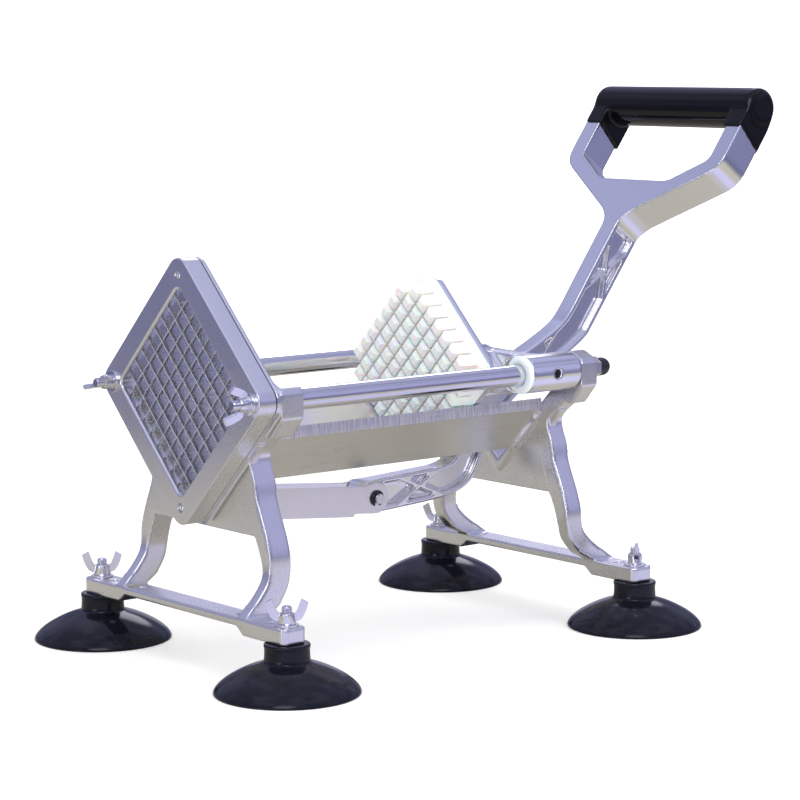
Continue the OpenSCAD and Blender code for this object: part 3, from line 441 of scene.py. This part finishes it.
machine_y = -188.647
rod_height = 158.3
bed_half = 67.4
front_face = 28.3
rear_face = 239.8
weld_runs = ((37.9, 46.2), (49.8, 75.6))
bead_r = 1.75
bead_out = 0.5
bead_points = 14
end_rate = 9
end_least = 0.02
ripple = 1.15
ripple_rise = 0.13
ripple_steps = 4
work = bmesh.new()
for side in (-1, 1):
    along = Vector((-side, 0, -1)).normalized()
    out_of = Vector((side, 0, -1)).normalized()
    for inward, face_y in ((1, front_face), (-1, rear_face)):
        corner = Vector((side * bed_half, machine_y + face_y, rod_height)) * mm
        off_corner = (out_of + Vector((0, inward, 0))) * bead_out * mm
        for start, stop in weld_runs:
            steps = int((stop - start) / (ripple / ripple_steps))
            ring = None
            for k in range(steps + 1):
                share = k / steps
                run = start + (stop - start) * share
                swell = 1 + ripple_rise * sin(2 * pi * run / ripple)
                past_end = max(0, 1 - end_rate * min(share, 1 - share))
                taper = sqrt(max(end_least, 1 - past_end ** 2))
                radius = bead_r * swell * taper * mm
                middle = corner + along * run * mm + off_corner
                angles = [2 * pi * n / bead_points for n in range(bead_points)]
                now = [work.verts.new(middle + radius * (cos(a) * out_of + sin(a) * Vector((0, 1, 0))))
                       for a in angles]
                rim = [work.edges.new((now[n - 1], now[n])) for n in range(bead_points)]
                if ring:
                    bmesh.ops.bridge_loops(work, edges=ring + rim)
                else:
                    bmesh.ops.contextual_create(work, geom=rim)
                ring = rim
            bmesh.ops.contextual_create(work, geom=ring)
bmesh.ops.recalc_face_normals(work, faces=work.faces)
made("weld_beads", work, "root", "weld_metal", weld_metal, "trough_welds")

# ---------------------------------------------------------------- guide rods
# Half-inch stainless bars, ground and polished, turned down at both ends to
# threaded studs that pass through the castings and the blade holder.


def hardware(name, colour, low, high):
    """Bright metal with faint smears, its roughness between low and high."""
    material, shader, place = finish(name)
    smear = mottle(place, 60, 3)
    fine = mottle(place, 1500, 2)
    dimmer = tuple(0.88 * c for c in colour[:3]) + (1,)
    place.feed(shader, {
        "Metallic": 1.0,
        "Base Color": smear.blend(colour, dimmer),
        "Roughness": low + smear * (high - low),
        "Normal": dented(fine, strength=0.15, depth=0.05)})
    return material


def thread(low, high):
    """Radius and place pairs of the studs' thread from low to high."""
    root_r = stud_r - thread_depth
    crest_r = stud_r - thread_wear
    turns = int((high - low) / thread_pitch)
    pairs = []
    for k in range(turns):
        y = low + k * (high - low) / turns
        pairs += [(root_r, y), (crest_r, y + 0.42), (crest_r, y + 0.58)]
    return pairs + [(root_r, high)]


def set_at(work, x, y, z):
    """Moves a shape to its place on the machine, in millimetres."""
    bmesh.ops.translate(work, verts=work.verts, vec=Vector((x, machine_y + y, z)) * mm)


rod_steel = hardware("rod_steel", rgb(0.82, 0.82, 0.83), low=0.1, high=0.2)
rod_x = 67.0
rod_r = 6.35
rod_edge = 0.45
stud_r = 3.0
stud_point_r = 2.3
thread_pitch = 1.0
thread_depth = 0.5
thread_wear = 0.04
thread_front = -14.4
thread_back = -3.4
rod_tip = -15
rod_front = 14.4
rod_back = 247.7
rod_end = 264.7
rod_profile = [(0, rod_tip), (stud_point_r, rod_tip)] + thread(thread_front, thread_back)
rod_profile += [(stud_r, thread_back), (stud_r, rod_front)]
rod_profile += [(rod_r - rod_edge, rod_front), (rod_r, rod_front + rod_edge)]
rod_profile += [(rod_r, rod_back - rod_edge), (rod_r - rod_edge, rod_back)]
rod_profile += [(stud_r, rod_back), (stud_r, rod_end), (0, rod_end)]
for side, name in ((-1, "left"), (1, "right")):
    work = spun(rod_profile, (0, 1, 0), steps=40)
    set_at(work, side * rod_x, 0, rod_height)
    rod = made("rod_" + name, work, "root", "rod_steel", rod_steel, "guide_rod_" + name)
    rod.data.set_sharp_from_angle(angle=radians(35))

# ---------------------------------------------------------------- washers
# Flat washers, stamped and plated bright: behind the head's wing nuts, in
# front of the dome nuts and under the wing nuts on the feet.

bright_metal = hardware("bright_hardware", rgb(0.90, 0.90, 0.92), low=0.12, high=0.24)
for node_name, piece_name in (("rod_washers", "rear_washers"), ("head_washers", "front_washers"),
                              ("foot_washers", "stud_washers")):
    washers = made(piece_name, copied(node_name), "root", "bright_hardware", bright_metal, node_name)
    ease(washers, width=0.3)

# ---------------------------------------------------------------- dome nuts
# Black domed nuts of steel close the rear ends of the rods. Their collars and
# hexagons are left bare.

dome_black = rgb(0.016, 0.016, 0.02)
dome_bare = rgb(0.78, 0.78, 0.80)
bare_from = 66.0 * mm
bare_to = 71.0 * mm
dark_steel, shader, place = finish("dark_steel")
behind = coordinate(place, "Y")
bare = (behind < bare_to) * (behind > bare_from)
worn = mottle(place, 240, 3)
place.feed(shader, {
    "Metallic": 0.2 + bare * 0.8,
    "Base Color": bare.blend(dome_black, dome_bare),
    "Roughness": 0.16 + worn * 0.16})
domes = made("cap_nuts", copied("rod_cap_nuts"), "root", "dark_steel", dark_steel, "rod_cap_nuts")
ease(domes, width=0.4)

# ---------------------------------------------------------------- blade holder
# A square aluminium frame that stands on its corner, its opening and its rim
# machined, with the blade strips let into slots behind its face.

holder_dark = rgb(0.82, 0.82, 0.82)
holder_light = rgb(0.90, 0.89, 0.88)
painted_seam_shade = rgb(0.10, 0.10, 0.13)
holder_low, holder_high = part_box("blade_holder")
holder_metal, shader, place = finish("holder_aluminium")
cloud = mottle(place, 30, 3)
grain = mottle(place, 1100, 2)
# A near-black band is painted along the holder's back edge, where it meets the casting's flange: painted
# shade in the seam
seam_shade_mask = coordinate(place, "Y").rise(holder_high[1] - 1.0 * mm, holder_high[1] - 0.7 * mm)
place.feed(shader, {
    "Metallic": 1.0,
    "Base Color": seam_shade_mask.blend(cloud.blend(holder_dark, holder_light), painted_seam_shade),
    "Roughness": 0.22 + cloud * 0.08 + grain * 0.05,
    "Normal": dented(grain, strength=0.25, depth=0.06)})


def from_middle(vert):
    """How far a corner of the mesh lies from the opening's middle, square to its sides."""
    x, z = vert.co.x / mm, vert.co.z / mm - rod_height
    return max(abs(x + z), abs(x - z)) / sqrt(2)


def rounded(work, edges, offset, segments):
    """Bevels some edges of the holder."""
    bmesh.ops.bevel(work, geom=edges, offset=offset * mm, offset_type="OFFSET", segments=segments,
                    profile=0.5, affect="EDGES", clamp_overlap=False, material=-1)


rim_from = 53.5
lip_to = 44.1
lip_depth = 1.1 * mm
holder_faces = (holder_low[1], holder_high[1])
lip_faces = (holder_low[1], holder_low[1] + lip_depth)
work = copied("blade_holder")
rims = [e for e in work.edges for y in holder_faces
        if all(abs(v.co.y - y) < 1e-5 and from_middle(v) > rim_from for v in e.verts)]
rounded(work, rims, offset=0.9, segments=3)
lips = [e for e in work.edges for y in lip_faces
        if all(abs(v.co.y - y) < 1e-5 and from_middle(v) < lip_to for v in e.verts)]
rounded(work, lips, offset=0.42, segments=2)
holder = made("holder_frame", work, "root", "holder_aluminium", holder_metal, "blade_holder")
flat = holder.modifiers.new("flat_faces", "WEIGHTED_NORMAL")
flat.weight = 80
flat.keep_sharp = True
holder.data.set_sharp_from_angle(angle=radians(50))
screws = made("socket_screws", copied("holder_screws"), "root", "bright_hardware", bright_metal,
              "holder_screws")
ease(screws, width=0.2)

# ---------------------------------------------------------------- blades
# Strips of stainless steel, eight each way and half-lapped into a grid, with
# their front edges ground, and painted lighter as a highlight.


def coat(node_name, material):
    """Gives a frame piece its finish."""
    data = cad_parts[node_name].data
    data.materials.clear()
    data.materials.append(material)


strip_grey = rgb(0.78, 0.78, 0.80)
ground_edge_painted_highlight = rgb(0.92, 0.92, 0.94)
blade_steel, shader, place = finish("blade_steel")
blade_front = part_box("blades_rising")[0][1]
# The ground front edges are rougher; their lighter colour and lower metal are a painted highlight
ground_and_painted_highlight = 1 - coordinate(place, "Y").rise(blade_front + 0.15 * mm, blade_front + 0.4 * mm)
lines = brushed(place, (300, 1800, 300), 2)
place.feed(shader, {
    "Metallic": 1 - ground_and_painted_highlight * 0.7,
    "Base Color": ground_and_painted_highlight.blend(strip_grey, ground_edge_painted_highlight),
    "Roughness": 0.22 + lines * 0.1 + ground_and_painted_highlight * 0.15})
coat("blades_rising", blade_steel)
coat("blades_falling", blade_steel)

# ---------------------------------------------------------------- anchor
# A ground steel pin between two ears under the bed, held by open spring clips
# that are blackened.

pin_steel = hardware("pin_steel", rgb(0.80, 0.80, 0.81), low=0.16, high=0.28)
anchor = made("anchor_bar", copied("anchor_pin"), "root", "pin_steel", pin_steel, "anchor_pin")
ease(anchor, width=0.35)
clips = made("anchor_rings", copied("anchor_clips"), "root", "dark_steel", dark_steel, "anchor_clips")
ease(clips, width=0.15)

# ---------------------------------------------------------------- feet
# Moulded rubber suction cups on M6 studs, each drawn up against its foot bar
# by a washer and a wing nut.

rubber_black = rgb(0.003, 0.004, 0.009)
dust_grey = rgb(0.10, 0.10, 0.12)
cup_rubber, shader, place = finish("cup_rubber")
dust = place.node("TexNoise", {}, {"Vector": place, "Scale": 700, "Detail": 4, "Roughness": 0.7})
specks = dust.rise(0.66, 0.72)
bloom = mottle(place, 40, 3)
place.feed(shader, {
    "Base Color": (specks * 0.6 + bloom * 0.06).blend(rubber_black, dust_grey),
    "Specular IOR Level": 0.28,
    "Roughness": 0.09 + bloom * 0.08 + specks * 0.4,
    "Normal": dented(specks + bloom * 0.4, strength=0.3, depth=0.15)})

# From the middle of the hollow, out under the lip, up the skirt to the neck
cup_hollow = [(0, 10.8), (8.3, 10.6), (17.3, 9.4), (26.3, 6.6), (33.3, 3.4), (37.5, 0.3)]
cup_lip = [(38.1, 0), (40.7, 0), (41.3, 0.35), (41.1, 1.6), (39.9, 3.6)]
cup_skirt = [(36.4, 7), (30, 11), (22, 14.8), (16.2, 16.6), (13.6, 17.4)]
cup_neck = [(13, 18.2), (12.8, 20.6), (12.6, 25.4), (13, 26), (13.1, 27.3), (12.7, 28), (12.2, 28), (0, 28)]
cup_x = 91.3
foot_bars = (("front", 3.5), ("rear", 271.1))
for row, bar_y in foot_bars:
    for side, name in ((-1, "left"), (1, "right")):
        work = spun(cup_hollow + cup_lip + cup_skirt + cup_neck, (0, 0, 1), steps=40)
        set_at(work, side * cup_x, bar_y, 0)
        cup = made(f"cup_{row}_{name}", work, "root", "cup_rubber", cup_rubber,
                   f"suction_cup_{row}_{name}")
        soft = cup.modifiers.new("moulded", "SUBSURF")
        soft.levels = soft.render_levels = 2

# Each stud's foot is moulded into its cup and its thread stands above the bar
foot_stud_low = 14
foot_thread_low = 38.2
foot_stud_tip = 48.6
foot_profile = [(0, foot_stud_low), (stud_r, foot_stud_low), (stud_r, foot_thread_low - 0.2)]
foot_profile += thread(foot_thread_low, foot_stud_tip - 0.6)
foot_profile += [(2.2, foot_stud_tip), (0, foot_stud_tip)]
work = bmesh.new()
for side in (-1, 1):
    for row, bar_y in foot_bars:
        one = spun(foot_profile, (0, 0, 1), steps=24)
        set_at(one, side * cup_x, bar_y, 0)
        held = bpy.data.meshes.new("one_stud")
        one.to_mesh(held)
        one.free()
        work.from_mesh(held)
        bpy.data.meshes.remove(held)
studs = made("foot_studs", work, "root", "bright_hardware", bright_metal, "cup_studs")
studs.data.set_sharp_from_angle(angle=radians(35))

# ---------------------------------------------------------------- wing nuts
# Cast wing nuts, plated bright: two clamp the holder on the rods, four hold
# the feet. Their wings are shorter, fuller and flatter than the frame's.

wing_root = 4.6
wing_reach = 0.74
wing_thickness = 0.8
wing_swell = 0.8
swell_over = 3
for place_name in ("head_left", "head_right", "front_left", "front_right", "rear_left", "rear_right"):
    node_name = "wing_nut_" + place_name
    low, high = (Vector(corner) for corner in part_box(node_name))
    work = copied(node_name)
    middle = (low + high) / 2
    screw_axis = Vector((0, 1, 0)) if place_name.startswith("head") else Vector((0, 0, 1))
    flat = [v.co - middle - (v.co - middle).dot(screw_axis) * screw_axis for v in work.verts]
    wing_way = max(flat, key=lambda offset: offset.length).normalized()
    work.normal_update()
    outward = [v.normal.copy() for v in work.verts]
    for vert, offset, normal in zip(work.verts, flat, outward):
        out = offset.length / mm - wing_root
        if out > 0:
            sideways = offset - offset.dot(wing_way) * wing_way
            vert.co += normal * wing_swell * min(1, out / swell_over) * mm
            vert.co += (wing_reach - 1) * out * mm * offset.normalized()
            vert.co += (wing_thickness - 1) * sideways
    nut = made("nut_" + place_name, work, node_name, "bright_hardware", bright_metal, node_name)
    ease(nut, width=0.5, segments=3)

# ---------------------------------------------------------------- carriage
# One aluminium casting slides on both rods: a backing plate, two sleeves and
# the lugs for the lever's pivot, polished brighter than the ends.

polish_dark = rgb(0.86, 0.86, 0.86)
polish_light = rgb(0.94, 0.93, 0.92)
bright_cast, shader, place = finish("polished_casting")
cloud = mottle(place, 40, 3)
grain = mottle(place, 900, 2)
place.feed(shader, {
    "Metallic": 1.0,
    "Base Color": cloud.blend(polish_dark, polish_light),
    "Roughness": 0.13 + cloud * 0.07 + grain * 0.05,
    "Normal": dented(grain * 0.4 + cloud, strength=0.25, depth=0.08)})
work = tumbled("carriage_casting", voxel=0.65, passes=4)
slider = made("carriage", work, "carriage", "cast_aluminium", bright_cast, "carriage_casting")
thin(slider, share=0.7)
for node_name, piece_name, slot_name, metal in (
        ("pusher_screws", "pusher_bolts", "bright_hardware", bright_metal),
        ("pivot_pin", "pivot_bar", "pin_steel", pin_steel),
        ("pivot_set_screw", "grub_screws", "dark_steel", dark_steel)):
    fixing = made(piece_name, copied(node_name), "carriage", slot_name, metal, node_name)
    ease(fixing, width=0.25)

# ---------------------------------------------------------------- bushes
# Two bushes of milky nylon, turned with a rounded collar in front and pressed
# into the carriage's sleeves.

bush_blue = rgb(0.86, 0.93, 0.99)
bush_white = rgb(0.92, 0.97, 1.0)
bush_nylon, shader, place = finish("bush_nylon")
milk = mottle(place, 160, 2)
place.feed(shader, {
    "Base Color": milk.blend(bush_blue, bush_white),
    "Roughness": 0.22 + milk * 0.1,
    "Subsurface Weight": 0.6,
    "Subsurface Scale": 0.005,
    "Coat Weight": 0.3})
bore_r = 6.4
bush_r = 8.55
collar_front = 196.5
sleeve_front = 199
bush_back = 237.5
bush_profile = [(bore_r, collar_front + 0.3), (bore_r + 0.3, collar_front), (10.2, collar_front)]
bush_profile += [(11.1, collar_front + 0.5), (11.5, collar_front + 1.4), (11.3, sleeve_front)]
bush_profile += [(bush_r, sleeve_front), (bush_r, bush_back), (bore_r, bush_back)]
bush_profile += bush_profile[:1]
for side, name in ((-1, "left"), (1, "right")):
    work = spun(bush_profile, (0, 1, 0), steps=48)
    set_at(work, side * rod_x, 0, rod_height)
    bush = made("bush_" + name, work, "carriage", "bush_nylon", bush_nylon, "rod_bush_" + name)
    bush.data.set_sharp_from_angle(angle=radians(50))

# ---------------------------------------------------------------- pusher
# One block of white nylon, moulded with a peg for each cell of the blade grid
# and screwed to the carriage's backing plate.

nylon_warm = rgb(0.95, 0.95, 0.92)
nylon_white = rgb(0.98, 0.98, 0.96)
pusher_nylon, shader, place = finish("pusher_nylon")
milk = mottle(place, 55, 3)
skin = mottle(place, 800, 2)
place.feed(shader, {
    "Base Color": milk.blend(nylon_warm, nylon_white),
    "Roughness": 0.3 + skin * 0.15,
    "Subsurface Weight": 0.8,
    "Subsurface Scale": 0.008,
    "Normal": dented(skin + milk, strength=0.3, depth=0.08)})
pusher = made("pusher", copied("pusher_block"), "carriage", "pusher_nylon", pusher_nylon, "pusher_block")
ease(pusher, width=0.5, segments=2, angle=30)

# ---------------------------------------------------------------- lever
# One aluminium casting from the link pin to the D of the handle, with recessed
# faces and crossed ribs, buffed along its edges.

work = tumbled("lever", voxel=0.55, passes=4)
lever = made("lever_arm", work, "lever", "cast_aluminium", bright_cast, "lever")
thin(lever, share=0.4)

# ---------------------------------------------------------------- grip
# A grip of gloss black plastic, moulded over the handle's bar and the upper
# ends of its arms. Its elbows are large and round.

gloss_black = rgb(0.002, 0.002, 0.003)
gloss_worn = rgb(0.005, 0.005, 0.006)
grip_gloss, shader, place = finish("grip_gloss")
wave = mottle(place, 26, 2)
place.feed(shader, {
    "Base Color": wave.blend(gloss_black, gloss_worn),
    "Roughness": 0.07 + wave * 0.05,
    "Specular IOR Level": 0.28,
    "Normal": dented(wave, strength=0.12, depth=0.3)})
elbow_skin = 3 * mm
elbow_passes = 24
grip_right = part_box("grip")[1][0]
work = tumbled("grip", voxel=0.8, passes=6)
elbows = [v for v in work.verts if abs(v.co.x) > grip_right - elbow_skin]
wear(work, elbows, elbow_passes)
made("hand_grip", work, "lever", "grip_gloss", grip_gloss, "grip")

# ---------------------------------------------------------------- link
# A folded aluminium channel that hooks over the anchor pin and hangs on the
# lever's pin, which is held by blackened clips.

link_dark = rgb(0.90, 0.87, 0.83)
link_light = rgb(0.97, 0.95, 0.91)
link_metal, shader, place = finish("link_aluminium")
lines = brushed(place, (900, 20, 900), 3)
haze = mottle(place, 30, 2)
place.feed(shader, {
    "Metallic": 1.0,
    "Base Color": haze.blend(link_dark, link_light),
    "Roughness": 0.24 + lines * 0.12,
    "Normal": dented(lines, strength=0.3, depth=0.06)})
link = made("link_channel", copied("link"), "link", "link_aluminium", link_metal, "link")
ease(link, width=0.5)
link_pin = made("link_bar", copied("link_pin"), "link", "pin_steel", pin_steel, "link_pin")
ease(link_pin, width=0.35)
link_clips = made("link_rings", copied("link_clips"), "link", "dark_steel", dark_steel, "link_clips")
ease(link_clips, width=0.15)
